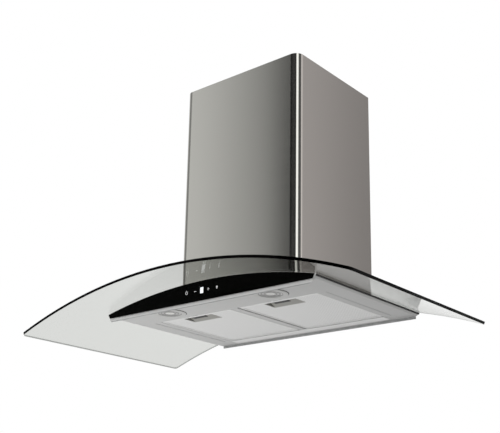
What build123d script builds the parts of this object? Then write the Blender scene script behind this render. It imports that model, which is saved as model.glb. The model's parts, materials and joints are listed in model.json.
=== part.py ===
from build123d import *
import os
from math import asin, cos, degrees, radians, sin, sqrt

# Curved glass range hood for a wall: a bent glass canopy on a shallow steel body, with two
# grease filters, two lamps and a touch panel, and a chimney that hides the blower.
#
# Frame: the origin is on the wall, midway across the hood, level with the underside of the pan.
# +X is to the right, +Y into the wall and +Z up. A depth is a distance out from the wall, so
# what has the depth d lies at Y = -d. All sizes are in millimetres.

os.makedirs("parts", exist_ok=True)

# ---------------------------------------------------------------------------------------------
# Driving dimensions
# ---------------------------------------------------------------------------------------------

# Stock and clearances
sheet = 1.0  # steel sheet of the body, the boxes and the chimney
seam = 0.2  # between curved or folded faces that lie on each other
slip = 0.5  # between the two chimney covers
running = 0.05  # radial clearance of a turning fit
screw_play = 0.3  # radial clearance of a screw in its hole

# Wall plate
plate_thick = 2.0
plate_side_inset = 3.5  # from the chimney's outside
plate_rise = 10.0  # over the blower box
plate_foot_inset = 2.0  # from the end of the body
plate_foot_rise = 4.0
plate_drop = 6.0  # what shows of it under the back of the pan
wall_hole_radius = 3.5
wall_hole_box_gap = 8.5  # from the side of the blower box
wall_hole_inset = 30.0  # from the mounting frame and from the plate's top

# Bent glass canopy
glass_width = 900.0
glass_depth = 505.0
glass_thick = 6.0
glass_bend = 1247.0  # radius of its underside
glass_corner = 8.0
glass_wall_gap = 1.0

# Body under the glass
body_width = 568.0  # the flat underside
body_flare = 7.0  # of each slanted side, up to the glass
body_depth = 388.0
rim_rise = 3.9  # of the side edges of the body's cover over the pan's underside
gasket_thick = 2.0
gasket_width = 8.0

crease_gap = 19.0  # from a filter's opening to the pressed line beside it
crease_width = 2.0
crease_deep = 0.6

# Front of the body: folded trim, black glass panel and its controls
trim_drop = 10.5
trim_inset = 3.0  # from the end of the body
trim_return = 10.0
trim_end_overlap = 1.0
fold_width = 1.4  # the sloped sheet, measured level
window_margin = 1.0  # round the display
panel_thick = 2.0
panel_drop = 2.3
panel_end_gap = 2.3
control_height = 19.2
icon_size = 7.0
icon_line = 1.1
icon_thick = 0.2
power_icon_x = -45.0
minus_icon_x = -20.0
plus_icon_x = 17.0
lamp_icon_x = 41.0
display_x = -1.5
display_width = 9.0
display_height = 13.0
board_width = 120.0
board_height = 26.0
board_thick = 1.6
board_standoff = 3.0
board_post_radius = 2.5
post_inset = 5.0
cover_wall = 1.5
cover_margin = 4.0
cover_room = 6.0  # behind the control board

# Lamps
lamp_spacing = 286.0
lamp_inset = 48.0  # from the pan's front
bezel_radius = 36.5
bezel_thick = 1.6
bezel_opening = 26.0
skirt_radius = 31.0
skirt_wall = 1.5
skirt_height = 10.0
lamp_fit = 0.2
lens_thick = 2.0
lamp_can_wall = 1.8
lamp_can_height = 19.0
led_radius = 4.0
led_height = 1.5
led_ring = 14.0
led_count = 6

# Grease filters
filter_width = 210.0
filter_between = 24.0  # from filter to filter
filter_inset = 102.0  # from the pan's front
filter_thick = 9.0
filter_front_gap = 2.5  # in its opening
filter_inner_gap = 3.5
filter_outer_gap = 1.0
filter_chamfer = 1.2
hinge_depth = 39.3
hinge_height = 1.3
hinge_gap = 0.3  # from the hinge line back to the pan's edge
hinge_set_back = 2.0  # from the hinge line out to the filter
tab_width = 20.0
tab_spacing = 120.0
tab_length = 6.0
tab_thick = 1.2
rail_lip = 6.0
rail_wall = 3.0
rail_thick = 0.8
mesh_fit = 0.1
mesh_skin = 1.0

# Filter latch, seen from below as a pocket with a finger slide
pocket_width = 80.0
pocket_length = 38.0
pocket_wall = 1.0
pocket_flange = 1.5
pocket_roof = 1.1
pocket_flat = 14.0  # level part of its roof, behind the front wall
slide_pad_width = 38.0
slide_pad_length = 6.5
slide_travel = 6.0
bolt_width = 22.0
bolt_low = 1.2
bolt_thick = 2.0
bolt_reach = 6.0
bolt_play = 0.3
post_width = 3.0
post_length = 2.0
post_set_in = 1.0
lug_thick = 2.0
spring_radius = 1.8
spring_length = 18.0
catch_width = 26.0
catch_thick = 0.6
catch_play = 0.5
catch_past = 2.0  # of the notch beyond the bolt's tip
catch_foot = 11.0

# Chimney covers
chimney_width = 340.0
chimney_depth = 289.0
chimney_top = 566.0
chimney_corner = 20.0
chimney_lip = 14.0
upper_drop = 3.0  # of the upper cover's top under the lower one's, when pushed in
upper_foot_rise = 63.0  # of the upper cover's foot over the mounting frame
upper_set_back = 4.5  # from the wall plate to the upper cover's back
bracket_thick = 1.5
bracket_height = 30.0
bracket_below_top = 12.0
bracket_wall_clear = 0.5
bracket_inner_half = 122.0
bracket_side_gap = 2.0
bracket_slot_x = 90.0
bracket_slot_length = 16.0
bracket_slot_width = 6.0
rest_thick = 1.5
rest_height = 30.0
rest_length = 130.0
rest_clear = 0.2

# Air opening through the body cover, the glass and the mounting frame
air_margin = 22.0  # from the opening to the outside of the blower box
air_corner = 15.0
pad_side = 26.0  # gasket beside the opening
pad_end = 12.0
frame_least = 3.0  # mounting frame's height over the crown of the glass
canopy_bolt_radius = 3.0
canopy_bolt_inset = 8.0  # from the side of the blower box
canopy_bolt_spacing = 140.0
grommet_radius = 6.0
grommet_recess = 0.4
nut_across = 10.0
nut_height = 5.0
bolt_head_height = 4.0
bolt_past_nut = 1.0

# Blower box
box_side_gap = 39.0  # from the box to the chimney's inside
box_front_gap = 42.0
box_height = 250.0
box_lid_lip = 10.0

# Blower
scroll_wall = 2.5
scroll_gap = 2.0  # from the scroll to the box
scroll_width = 86.0  # inside, along the axle
spiral_step = 7.0
tongue_gap = 10.0
axle_rise = 105.0  # over the mounting frame
inlet_radius = 50.0
scroll_flange = 10.0
blade_length = 72.0
blade_count = 32
blade_thick = 1.2
blade_chord = 14.0
blade_turn = 40.0  # degrees from the radius
wheel_plate = 2.0
wheel_back_gap = 5.0
hub_radius = 12.0
hub_length = 24.0
shaft_radius = 4.0
shaft_end_gap = 2.5
motor_radius = 42.0
motor_length = 56.0
motor_wall = 2.0
bearing_radius = 8.0
bearing_length = 7.0
hub_margin = 4.0  # round the bearing, in the scroll's back
boss_wall = 3.0
stator_length = 34.0
rotor_radius = 22.0
air_gap = 0.5

# Outlet collar and its two flaps
collar_radius = 75.0
collar_wall = 2.0
collar_height = 50.0
collar_flange = 14.0
flap_level = 16.0  # over the box
flap_thick = 1.2
flap_gap = 1.5
flap_pin_radius = 1.5
knuckle_radius = 3.5
knuckle_length = 14.0
knuckle_near = 24.0
knuckle_far = 48.0
knuckle_clear = 0.7
knuckle_strap = 3.0
ledge_width = 4.0
ledge_height = 3.0
ledge_gap = 0.3

# Control electronics, on the front of the blower box
case_width = 110.0
case_height = 90.0
case_rise = 60.0  # over the mounting frame
case_past_lead = 15.0  # from the side of the case to the leads' hole
case_room = 24.0  # inside, front to back
case_wall = 2.0
case_post_height = 4.0
case_post_radius = 3.0
case_post_inset = 12.0
power_board_margin = 4.0
terminal_width = 26.0
terminal_depth = 12.0
terminal_rise = 8.0
core_width = 34.0
core_height = 28.0
core_rise = 7.0
winding_width = 24.0
winding_height = 34.0
component_rise = 13.0
capacitor_width = 18.0
capacitor_height = 42.0
capacitor_corner = 3.0
gland_radius = 8.0
gland_bore = 3.6
gland_height = 16.0
gland_nut = 11.0
gland_nut_height = 8.0
gland_inside = 4.0  # of it inside the case
gland_chamfer = 1.5

# Screws, all of one size
screw_radius = 2.0
screw_head_radius = 3.8
screw_head_height = 2.4
screw_tip_gap = 0.2
body_screw_height = 18.0
body_screw_spread = (-130.0, -60.0, 60.0, 130.0)
box_screw_spread = (-100.0, 110.0)
box_screw_inset = 20.0
lid_screw_inset = 40.0
chimney_screw_rise = 100.0  # of the lower ones over the mounting frame
chimney_screw_drop = 30.0  # of the upper ones under the top of the blower box
motor_screw_inset = 8.0
motor_screw_turns = (0, 120, 240)
scroll_screw_spacing = 57.0
collar_screw_turns = (45, 135, 225, 315)

# Leads inside the hood
lead_radius = 2.2
lead_hole_radius = 6.0
lead_apart = 6.4
lead_side_inset = 8.0  # from the side of the air opening
lead_drop_inset = 14.0  # from the front of the air opening
lead_bend = 14.0
lead_clear = 1.0
lead_in_cover = 6.0  # from the end of the control board
lamp_lead_straight = 20.0  # out of the board's cover

# ---------------------------------------------------------------------------------------------
# Derived places
# ---------------------------------------------------------------------------------------------

sides = (("left", -1), ("right", 1))

fold_half = body_width / 2
rim_half = fold_half + body_flare
trim_half = fold_half - trim_inset

# Radii of the curved layers, from the glass down, all bent about one line along Y
glass_top = glass_bend + glass_thick
gasket_high = glass_bend - seam
gasket_low = gasket_high - gasket_thick
cover_high = gasket_low - seam
cover_low = cover_high - sheet
under_cover = cover_low - seam
bend_centre = rim_rise - sqrt(cover_high**2 - rim_half**2)
body_height = bend_centre + glass_bend  # from the pan's underside to the glass, midway across

glass_back = plate_thick + glass_wall_gap
pan_front = plate_thick + body_depth
trim_front = pan_front + sheet
panel_front = trim_front + panel_thick
lamp_depth = pan_front - lamp_inset

frame_top = body_height + glass_thick + seam + frame_least
box_half = chimney_width / 2 - sheet - box_side_gap
box_front = chimney_depth - sheet - box_front_gap
box_top = frame_top + box_height
plate_width = chimney_width - 2 * plate_side_inset
plate_top = box_top + plate_rise
box_middle = (plate_thick + box_front) / 2
air_width = 2 * (box_half - air_margin)
air_back = plate_thick + air_margin
air_front = box_front - air_margin
canopy_bolt_x = box_half - canopy_bolt_inset
wall_hole_x = box_half + wall_hole_box_gap
axle_height = frame_top + axle_rise

spiral_start = (box_half - sheet - scroll_gap - scroll_wall) / 1.5 - spiral_step
axle_x = (spiral_start + 2 * spiral_step) / 2
wheel_radius = spiral_start - tongue_gap
scroll_back = box_middle - scroll_width / 2
scroll_front_depth = box_middle + scroll_width / 2
scroll_top = box_top - sheet
scroll_left = axle_x - spiral_start - 2.5 * spiral_step
scroll_right = axle_x + spiral_step / 2
motor_front = scroll_back - scroll_wall
motor_back = motor_front - motor_length
wheel_back = scroll_back + wheel_back_gap
flap_height = box_top + flap_level

filter_x = (filter_width + filter_between) / 2
filter_front = pan_front - filter_inset
filter_back = hinge_depth + hinge_set_back
mesh_low = rail_thick + mesh_fit
mesh_high = filter_thick - rail_thick - mesh_fit
opening_x = filter_x + (filter_outer_gap - filter_inner_gap) / 2
opening_width = filter_width + filter_outer_gap + filter_inner_gap
opening_back = hinge_depth - hinge_gap
opening_front = filter_front + filter_front_gap
pocket_front = filter_front - rail_lip
pocket_back = pocket_front - pocket_length
pocket_cavity_front = pocket_front - pocket_wall
slide_front = pocket_cavity_front - bolt_play
catch_back = filter_front + bolt_reach + catch_past


def curve_height(radius, x):
    """Height at x of a sheet bent to this radius."""
    return bend_centre + sqrt(radius**2 - x**2)


def depth_plane(depth):
    """Upright plane at this depth, facing out into the room: its x is X and its y is Z."""
    return Plane.XZ.offset(depth)


def bent_sheet(depth, low_radius, high_radius, half_width):
    """End face of a curved sheet that is cut square to its curve."""
    half_angle = degrees(asin(half_width / high_radius))
    with BuildSketch(depth_plane(depth)) as face:
        with BuildLine():
            low = CenterArc((0, bend_centre), low_radius, 90 - half_angle, 2 * half_angle)
            high = CenterArc((0, bend_centre), high_radius, 90 - half_angle, 2 * half_angle)
            Line(low @ 0, high @ 0)
            Line(low @ 1, high @ 1)
        make_face()
    return face.sketch


def disc_under(radius):
    """All that lies under a sheet bent to this radius, as a face on the wall plane."""
    with BuildSketch(Plane.XZ) as face:
        with Locations((0, bend_centre)):
            Circle(radius)
    return face.sketch


def air_opening():
    """Plan of the opening that the air rises through."""
    with BuildSketch(Plane.XY) as face:
        with Locations((0, -(air_back + air_front) / 2)):
            RectangleRounded(air_width, air_front - air_back, air_corner)
    return face.sketch


# ---------------------------------------------------------------------------------------------
# Places of the screws
# ---------------------------------------------------------------------------------------------

body_screw_places = [(x, body_screw_height) for x in body_screw_spread]
box_screw_places = [
    (x, z)
    for x in box_screw_spread
    for z in (frame_top + box_screw_inset, box_top - box_screw_inset)
]
chimney_screw_x = chimney_width / 2 - sheet - chimney_lip / 2
chimney_screw_places = [
    (x, z)
    for x in (-chimney_screw_x, chimney_screw_x)
    for z in (frame_top + chimney_screw_rise, box_top - chimney_screw_drop)
]
wall_hole_places = [
    (x, z)
    for x in (-wall_hole_x, wall_hole_x)
    for z in (frame_top + wall_hole_inset, plate_top - wall_hole_inset)
]
canopy_bolt_places = [
    (x, -box_middle + y * canopy_bolt_spacing / 2)
    for x in (-canopy_bolt_x, canopy_bolt_x)
    for y in (-1, 1)
]
motor_screw_ring = motor_radius - motor_screw_inset
collar_screw_ring = collar_radius + collar_flange / 2
scroll_screw_x = (scroll_right - scroll_left) / 2 + scroll_wall + scroll_flange / 2
scroll_screw_places = [
    (x, y * scroll_screw_spacing / 2) for x in (-scroll_screw_x, scroll_screw_x) for y in (-1, 1)
]
lid_screw_depth = box_front - sheet - box_lid_lip / 2
lid_screw_places = [
    (-lid_screw_depth, z) for z in (frame_top + lid_screw_inset, box_top - lid_screw_inset)
]

# ---------------------------------------------------------------------------------------------
# Wall plate
# ---------------------------------------------------------------------------------------------

with BuildPart() as wall_plate:
    with BuildSketch(Plane.XZ):
        with Locations((0, (plate_top - plate_drop) / 2)):
            Rectangle(plate_width, plate_top + plate_drop)
        with Locations((0, (plate_foot_rise - plate_drop) / 2)):
            Rectangle(2 * (fold_half - plate_foot_inset), plate_foot_rise + plate_drop)
        with Locations(*wall_hole_places):
            Circle(wall_hole_radius, mode=Mode.SUBTRACT)
        with Locations(*body_screw_places, *box_screw_places, *chimney_screw_places):
            Circle(screw_radius + running, mode=Mode.SUBTRACT)
    extrude(amount=plate_thick)
wall_plate.part.label = "wall_plate"
export_step(wall_plate.part, "parts/wall_plate.step")

# ---------------------------------------------------------------------------------------------
# Canopy body
# ---------------------------------------------------------------------------------------------

body_outline = [
    (-fold_half, 0),
    (fold_half, 0),
    (rim_half, rim_rise),
    (rim_half, body_height),
    (-rim_half, body_height),
    (-rim_half, rim_rise),
]
lamp_places = [(side * lamp_spacing / 2, -lamp_depth) for _, side in sides]
crease_x = opening_x + opening_width / 2 + crease_gap

with BuildPart() as canopy_pan:
    with BuildSketch(depth_plane(plate_thick)):
        Polygon(*body_outline, align=None)
    extrude(amount=body_depth)
    with BuildSketch(depth_plane(plate_thick + sheet)):
        Polygon(*body_outline, align=None)
        offset(amount=-sheet, kind=Kind.INTERSECTION, mode=Mode.REPLACE)
    extrude(amount=body_depth, mode=Mode.SUBTRACT)
    extrude(disc_under(under_cover), amount=2 * body_depth, mode=Mode.INTERSECT)
    with BuildSketch(Plane.XY):
        with Locations(*[(side * opening_x, -(opening_front + opening_back) / 2) for _, side in sides]):
            Rectangle(opening_width, opening_front - opening_back)
        with Locations(*[(side * filter_x, -(filter_front + catch_back) / 2) for _, side in sides]):
            Rectangle(catch_width + 2 * catch_play, catch_back - filter_front)
        with Locations(*lamp_places):
            Circle(skirt_radius + lamp_fit)
    extrude(amount=sheet, mode=Mode.SUBTRACT)
    with BuildSketch(Plane.XY):
        with Locations(*[(side * crease_x, -(filter_front + opening_back) / 2) for _, side in sides]):
            Rectangle(crease_width, filter_front - opening_back)
    extrude(amount=crease_deep, mode=Mode.SUBTRACT)
    with BuildSketch(depth_plane(plate_thick)):
        with Locations(*body_screw_places):
            Circle(screw_radius + screw_play)
    extrude(amount=sheet, mode=Mode.SUBTRACT)
canopy_pan.part.label = "canopy_pan"
export_step(canopy_pan.part, "parts/canopy_pan.step")

with BuildPart() as body_top_cover:
    extrude(bent_sheet(plate_thick, cover_low, cover_high, rim_half), amount=body_depth)
    extrude(air_opening(), amount=body_height, mode=Mode.SUBTRACT)
    with BuildSketch(Plane.XY):
        with Locations(*canopy_bolt_places):
            Circle(canopy_bolt_radius + screw_play)
    extrude(amount=body_height, mode=Mode.SUBTRACT)
body_top_cover.part.label = "body_top_cover"
export_step(body_top_cover.part, "parts/body_top_cover.step")

# Front trim: an upright sheet with a sloped return under the pan, open at both ends
trim_end_half = rim_half + trim_end_overlap
trim_end_height = curve_height(gasket_high, trim_end_half)

with BuildPart() as front_trim:
    with BuildSketch(depth_plane(pan_front)):
        Polygon(
            (-trim_half, -trim_drop),
            (trim_half, -trim_drop),
            (trim_end_half, trim_end_height),
            (trim_end_half, body_height),
            (-trim_end_half, body_height),
            (-trim_end_half, trim_end_height),
            align=None,
        )
    extrude(amount=sheet)
    extrude(disc_under(gasket_high), amount=2 * body_depth, mode=Mode.INTERSECT)
    with BuildSketch(Plane.YZ.offset(-trim_half)):
        Polygon(
            (-trim_front, -trim_drop),
            (-pan_front + trim_return, 0),
            (-pan_front + trim_return - fold_width, 0),
            (-trim_front, -trim_drop + fold_width),
            align=None,
        )
    extrude(amount=2 * trim_half)
    with BuildSketch(depth_plane(pan_front)):
        with Locations((display_x, control_height)):
            Rectangle(display_width + 2 * window_margin, display_height + 2 * window_margin)
    extrude(amount=sheet, mode=Mode.SUBTRACT)
front_trim.part.label = "front_trim"
export_step(front_trim.part, "parts/front_trim.step")

with BuildPart() as glass_gaskets:
    extrude(
        bent_sheet(glass_back, gasket_low, gasket_high, rim_half),
        amount=pan_front - glass_back,
    )
    with BuildSketch(Plane.XY):
        with Locations((0, -(glass_back + pan_front) / 2)):
            Rectangle(
                2 * (rim_half - gasket_width),
                pan_front - glass_back - 2 * gasket_width,
            )
    extrude(amount=2 * body_height, mode=Mode.SUBTRACT)
    extrude(
        bent_sheet(air_back - pad_end, gasket_low, gasket_high, air_width / 2 + pad_side),
        amount=air_front - air_back + 2 * pad_end,
    )
    extrude(air_opening(), amount=body_height, mode=Mode.SUBTRACT)
    with BuildSketch(Plane.XY):
        with Locations(*canopy_bolt_places):
            Circle(canopy_bolt_radius + screw_play)
    extrude(amount=body_height, mode=Mode.SUBTRACT)
glass_gaskets.part.label = "glass_gaskets"
export_step(glass_gaskets.part, "parts/glass_gaskets.step")

# ---------------------------------------------------------------------------------------------
# Glass canopy and the frame that clamps it
# ---------------------------------------------------------------------------------------------

with BuildPart() as canopy_glass:
    extrude(bent_sheet(glass_back, glass_bend, glass_top, glass_width / 2), amount=glass_depth)
    corner_edges = canopy_glass.edges().filter_by(GeomType.LINE).group_by(SortBy.LENGTH)[0]
    fillet(corner_edges, radius=glass_corner)
    extrude(air_opening(), amount=2 * body_height, mode=Mode.SUBTRACT)
    with BuildSketch(Plane.XY):
        with Locations(*canopy_bolt_places):
            Circle(grommet_radius + running)
    extrude(amount=2 * body_height, mode=Mode.SUBTRACT)
canopy_glass.part.label = "canopy_glass"
export_step(canopy_glass.part, "parts/canopy_glass.step")

grommet_low = curve_height(glass_bend, canopy_bolt_x) + grommet_recess
grommet_high = curve_height(glass_top, canopy_bolt_x) - grommet_recess

with BuildPart() as glass_grommets:
    with BuildSketch(Plane.XY.offset(grommet_low)):
        with Locations(*canopy_bolt_places):
            Circle(grommet_radius)
            Circle(canopy_bolt_radius + screw_play, mode=Mode.SUBTRACT)
    extrude(amount=grommet_high - grommet_low)
glass_grommets.part.label = "glass_grommets"
export_step(glass_grommets.part, "parts/glass_grommets.step")

with BuildPart() as mounting_frame:
    with BuildSketch(depth_plane(glass_back)):
        with Locations((0, frame_top / 2)):
            Rectangle(2 * box_half, frame_top)
    extrude(amount=box_front - glass_back)
    extrude(disc_under(glass_top + seam), amount=2 * body_depth, mode=Mode.SUBTRACT)
    extrude(air_opening(), amount=2 * body_height, mode=Mode.SUBTRACT)
    with BuildSketch(Plane.XY):
        with Locations(*canopy_bolt_places):
            Circle(canopy_bolt_radius + screw_play)
    extrude(amount=frame_top, mode=Mode.SUBTRACT)
mounting_frame.part.label = "mounting_frame"
export_step(mounting_frame.part, "parts/mounting_frame.step")

# Four bolts from inside the box down to nuts under the body cover
bolt_seat = frame_top + sheet
nut_top = curve_height(cover_low, canopy_bolt_x + nut_across / 2) - seam
nut_low = nut_top - nut_height

with BuildPart() as canopy_bolts:
    with BuildSketch(Plane.XY.offset(bolt_seat)):
        with Locations(*canopy_bolt_places):
            RegularPolygon(nut_across / 2, 6, major_radius=False)
    extrude(amount=bolt_head_height)
    with BuildSketch(Plane.XY.offset(bolt_seat)):
        with Locations(*canopy_bolt_places):
            Circle(canopy_bolt_radius)
    extrude(amount=nut_low - bolt_past_nut - bolt_seat)
    with BuildSketch(Plane.XY.offset(nut_low)):
        with Locations(*canopy_bolt_places):
            RegularPolygon(nut_across / 2, 6, major_radius=False)
            Circle(canopy_bolt_radius + running, mode=Mode.SUBTRACT)
    extrude(amount=nut_height)
canopy_bolts.part.label = "canopy_bolts"
export_step(canopy_bolts.part, "parts/canopy_bolts.step")

# ---------------------------------------------------------------------------------------------
# Control panel
# ---------------------------------------------------------------------------------------------

panel_top = glass_bend - 2 * seam
panel_end_half = rim_half - panel_end_gap
panel_end_height = curve_height(panel_top, panel_end_half)

with BuildPart() as control_panel:
    with BuildSketch(depth_plane(trim_front)):
        Polygon(
            (-fold_half, -panel_drop),
            (fold_half, -panel_drop),
            (panel_end_half, panel_end_height),
            (panel_end_half, body_height),
            (-panel_end_half, body_height),
            (-panel_end_half, panel_end_height),
            align=None,
        )
    extrude(amount=panel_thick)
    extrude(disc_under(panel_top), amount=2 * body_depth, mode=Mode.INTERSECT)
    with BuildSketch(depth_plane(trim_front)):
        with Locations((display_x, control_height)):
            Rectangle(display_width, display_height)
    extrude(amount=panel_thick, mode=Mode.SUBTRACT)
control_panel.part.label = "control_panel"
export_step(control_panel.part, "parts/control_panel.step")

with BuildPart() as display_lens:
    with BuildSketch(depth_plane(trim_front)):
        with Locations((display_x, control_height)):
            Rectangle(display_width - 2 * mesh_fit, display_height - 2 * mesh_fit)
    extrude(amount=panel_thick)
display_lens.part.label = "display_lens"
export_step(display_lens.part, "parts/display_lens.step")

# Touch marks: on and off, less, more, and light
with BuildPart() as touch_icons:
    with BuildSketch(depth_plane(panel_front)):
        with Locations((power_icon_x, control_height)):
            Circle(icon_size / 2)
            Circle(icon_size / 2 - icon_line, mode=Mode.SUBTRACT)
        with Locations((power_icon_x, control_height + icon_size / 2)):
            Rectangle(3 * icon_line, icon_size / 2, mode=Mode.SUBTRACT)
            Rectangle(icon_line, icon_size / 2)
        with Locations((minus_icon_x, control_height), (plus_icon_x, control_height)):
            Rectangle(icon_size - icon_line, icon_line)
        with Locations((plus_icon_x, control_height)):
            Rectangle(icon_line, icon_size - icon_line)
        with Locations((lamp_icon_x, control_height + icon_line / 2)):
            Circle(icon_size / 3)
        with Locations((lamp_icon_x, control_height - icon_size / 2 + icon_line / 2)):
            Rectangle(icon_size / 3, icon_line)
    extrude(amount=icon_thick)
touch_icons.part.label = "touch_icons"
export_step(touch_icons.part, "parts/touch_icons.step")

# Control board, on four posts behind the trim, with its display reaching through the trim
board_front = pan_front - board_standoff
board_back = board_front - board_thick
post_places = [
    (x * (board_width / 2 - post_inset), control_height + z * (board_height / 2 - post_inset))
    for x in (-1, 1)
    for z in (-1, 1)
]

with BuildPart() as control_board:
    with BuildSketch(depth_plane(board_back)):
        with Locations((0, control_height)):
            Rectangle(board_width, board_height)
    extrude(amount=board_thick)
    with BuildSketch(depth_plane(board_front)):
        with Locations((display_x, control_height)):
            Rectangle(display_width, display_height)
    extrude(amount=trim_front - board_front)
    with BuildSketch(depth_plane(board_front)):
        with Locations(*post_places):
            Circle(board_post_radius)
    extrude(amount=board_standoff)
control_board.part.label = "control_board"
export_step(control_board.part, "parts/control_board.step")

cover_back = board_back - cover_room
cover_half = board_width / 2 + cover_margin
cover_low_edge = control_height - board_height / 2 - cover_margin + cover_wall
cover_high_edge = control_height + board_height / 2 + cover_wall
board_lead_depth = board_back - lead_radius - lead_clear
panel_lead_height = control_height + lead_apart / 2
lamp_lead_height = control_height - lead_apart / 2

with BuildPart() as control_board_cover:
    with BuildSketch(depth_plane(cover_back)):
        with Locations((0, (cover_low_edge + cover_high_edge) / 2)):
            Rectangle(2 * cover_half, cover_high_edge - cover_low_edge)
    extrude(amount=pan_front - cover_back)
    with BuildSketch(depth_plane(cover_back + cover_wall)):
        with Locations((0, (cover_low_edge + cover_high_edge) / 2)):
            Rectangle(
                2 * (cover_half - cover_wall),
                cover_high_edge - cover_low_edge - 2 * cover_wall,
            )
    extrude(amount=pan_front, mode=Mode.SUBTRACT)
    with BuildSketch(Plane.YZ.offset(-cover_half)):
        with Locations(*[(-board_lead_depth, z) for z in (panel_lead_height, lamp_lead_height)]):
            Circle(lead_radius + screw_play)
    extrude(amount=2 * cover_half, mode=Mode.SUBTRACT)
control_board_cover.part.label = "control_board_cover"
export_step(control_board_cover.part, "parts/control_board_cover.step")

# ---------------------------------------------------------------------------------------------
# Lamps
# ---------------------------------------------------------------------------------------------

for name, side in sides:
    lamp_x = side * lamp_spacing / 2
    with BuildPart() as lamp_bezel:
        with BuildSketch(Plane.XY.offset(-bezel_thick)):
            with Locations((lamp_x, -lamp_depth)):
                Circle(bezel_radius)
                Circle(bezel_opening, mode=Mode.SUBTRACT)
        extrude(amount=bezel_thick)
        chamfer(lamp_bezel.faces().sort_by(Axis.Z)[0].edges(), length=bezel_thick / 2)
        with BuildSketch(Plane.XY):
            with Locations((lamp_x, -lamp_depth)):
                Circle(skirt_radius)
                Circle(skirt_radius - skirt_wall, mode=Mode.SUBTRACT)
        extrude(amount=skirt_height)
    lamp_bezel.part.label = f"lamp_bezel_{name}"
    export_step(lamp_bezel.part, f"parts/lamp_bezel_{name}.step")

    with BuildPart() as lamp_lens:
        with BuildSketch(Plane.XY):
            with Locations((lamp_x, -lamp_depth)):
                Circle(skirt_radius - skirt_wall - lamp_fit)
        extrude(amount=lens_thick)
        with BuildSketch(Plane.XY):
            with Locations((lamp_x, -lamp_depth)):
                Circle(bezel_opening - lamp_fit)
        extrude(amount=-bezel_thick / 2)
    lamp_lens.part.label = f"lamp_lens_{name}"
    export_step(lamp_lens.part, f"parts/lamp_lens_{name}.step")

can_inner = skirt_radius + lamp_fit
can_top = sheet + lamp_can_height
led_places = [
    (x + led_ring * cos(radians(turn)), y + led_ring * sin(radians(turn)))
    for x, y in lamp_places
    for turn in [360 * index / led_count for index in range(led_count)]
]

with BuildPart() as lamp_housings:
    with BuildSketch(Plane.XY.offset(sheet)):
        with Locations(*lamp_places):
            Circle(can_inner + lamp_can_wall)
    extrude(amount=lamp_can_height)
    with BuildSketch(Plane.XY.offset(sheet)):
        with Locations(*lamp_places):
            Circle(can_inner)
    extrude(amount=lamp_can_height - lamp_can_wall, mode=Mode.SUBTRACT)
lamp_housings.part.label = "lamp_housings"
export_step(lamp_housings.part, "parts/lamp_housings.step")

with BuildPart() as lamp_boards:
    with BuildSketch(Plane.XY.offset(can_top - lamp_can_wall)):
        with Locations(*lamp_places):
            Circle(can_inner - lamp_fit)
    extrude(amount=-board_thick)
    with BuildSketch(Plane.XY.offset(can_top - lamp_can_wall - board_thick)):
        with Locations(*led_places):
            Circle(led_radius)
    extrude(amount=-led_height)
lamp_boards.part.label = "lamp_boards"
export_step(lamp_boards.part, "parts/lamp_boards.step")

# ---------------------------------------------------------------------------------------------
# Blower box, on the mounting frame
# ---------------------------------------------------------------------------------------------

lid_half = box_half + seam + sheet
lid_top = box_top + seam + sheet
lead_hole_x = lead_side_inset - air_width / 2
case_x = lead_hole_x - case_past_lead + case_width / 2

with BuildPart() as blower_box:
    with BuildSketch(depth_plane(plate_thick)):
        with Locations((0, (frame_top + box_top) / 2)):
            Rectangle(2 * box_half, box_height)
    extrude(amount=box_front - sheet - plate_thick)
    with BuildSketch(depth_plane(plate_thick + sheet)):
        with Locations((0, (frame_top + box_top) / 2)):
            Rectangle(2 * (box_half - sheet), box_height - 2 * sheet)
    extrude(amount=box_front, mode=Mode.SUBTRACT)
    extrude(air_opening(), amount=frame_top + sheet, mode=Mode.SUBTRACT)
    with BuildSketch(Plane.XY.offset(frame_top)):
        with Locations(*canopy_bolt_places):
            Circle(canopy_bolt_radius + screw_play)
    extrude(amount=sheet, mode=Mode.SUBTRACT)
    with BuildSketch(Plane.XY.offset(box_top - sheet)):
        with Locations(((scroll_left + scroll_right) / 2, -box_middle)):
            Rectangle(scroll_right - scroll_left, scroll_width)
        with Locations((0, -box_middle)):
            with PolarLocations(collar_screw_ring, 4, start_angle=45):
                Circle(screw_radius + running)
            with Locations(*scroll_screw_places):
                Circle(screw_radius + running)
    extrude(amount=sheet, mode=Mode.SUBTRACT)
    with BuildSketch(depth_plane(plate_thick)):
        with Locations(*box_screw_places):
            Circle(screw_radius + screw_play)
    extrude(amount=sheet, mode=Mode.SUBTRACT)
    with BuildSketch(Plane.YZ.offset(-box_half)):
        with Locations(*lid_screw_places):
            Circle(screw_radius + running)
    extrude(amount=2 * box_half, mode=Mode.SUBTRACT)
blower_box.part.label = "blower_box"
export_step(blower_box.part, "parts/blower_box.step")

with BuildPart() as box_front_cover:
    with BuildSketch(depth_plane(box_front - sheet - box_lid_lip)):
        with Locations((0, (frame_top + lid_top) / 2)):
            Rectangle(2 * lid_half, lid_top - frame_top)
    extrude(amount=box_lid_lip + sheet)
    with BuildSketch(depth_plane(box_front - sheet - box_lid_lip)):
        with Locations((0, (frame_top + lid_top) / 2 - sheet)):
            Rectangle(2 * (lid_half - sheet), lid_top - frame_top)
    extrude(amount=box_lid_lip, mode=Mode.SUBTRACT)
    with BuildSketch(depth_plane(box_front - sheet)):
        with Locations((lead_hole_x, axle_height)):
            Circle(lead_hole_radius)
    extrude(amount=sheet, mode=Mode.SUBTRACT)
    with BuildSketch(Plane.YZ.offset(-lid_half)):
        with Locations(*lid_screw_places):
            Circle(screw_radius + screw_play)
    extrude(amount=2 * lid_half, mode=Mode.SUBTRACT)
box_front_cover.part.label = "box_front_cover"
export_step(box_front_cover.part, "parts/box_front_cover.step")

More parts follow.
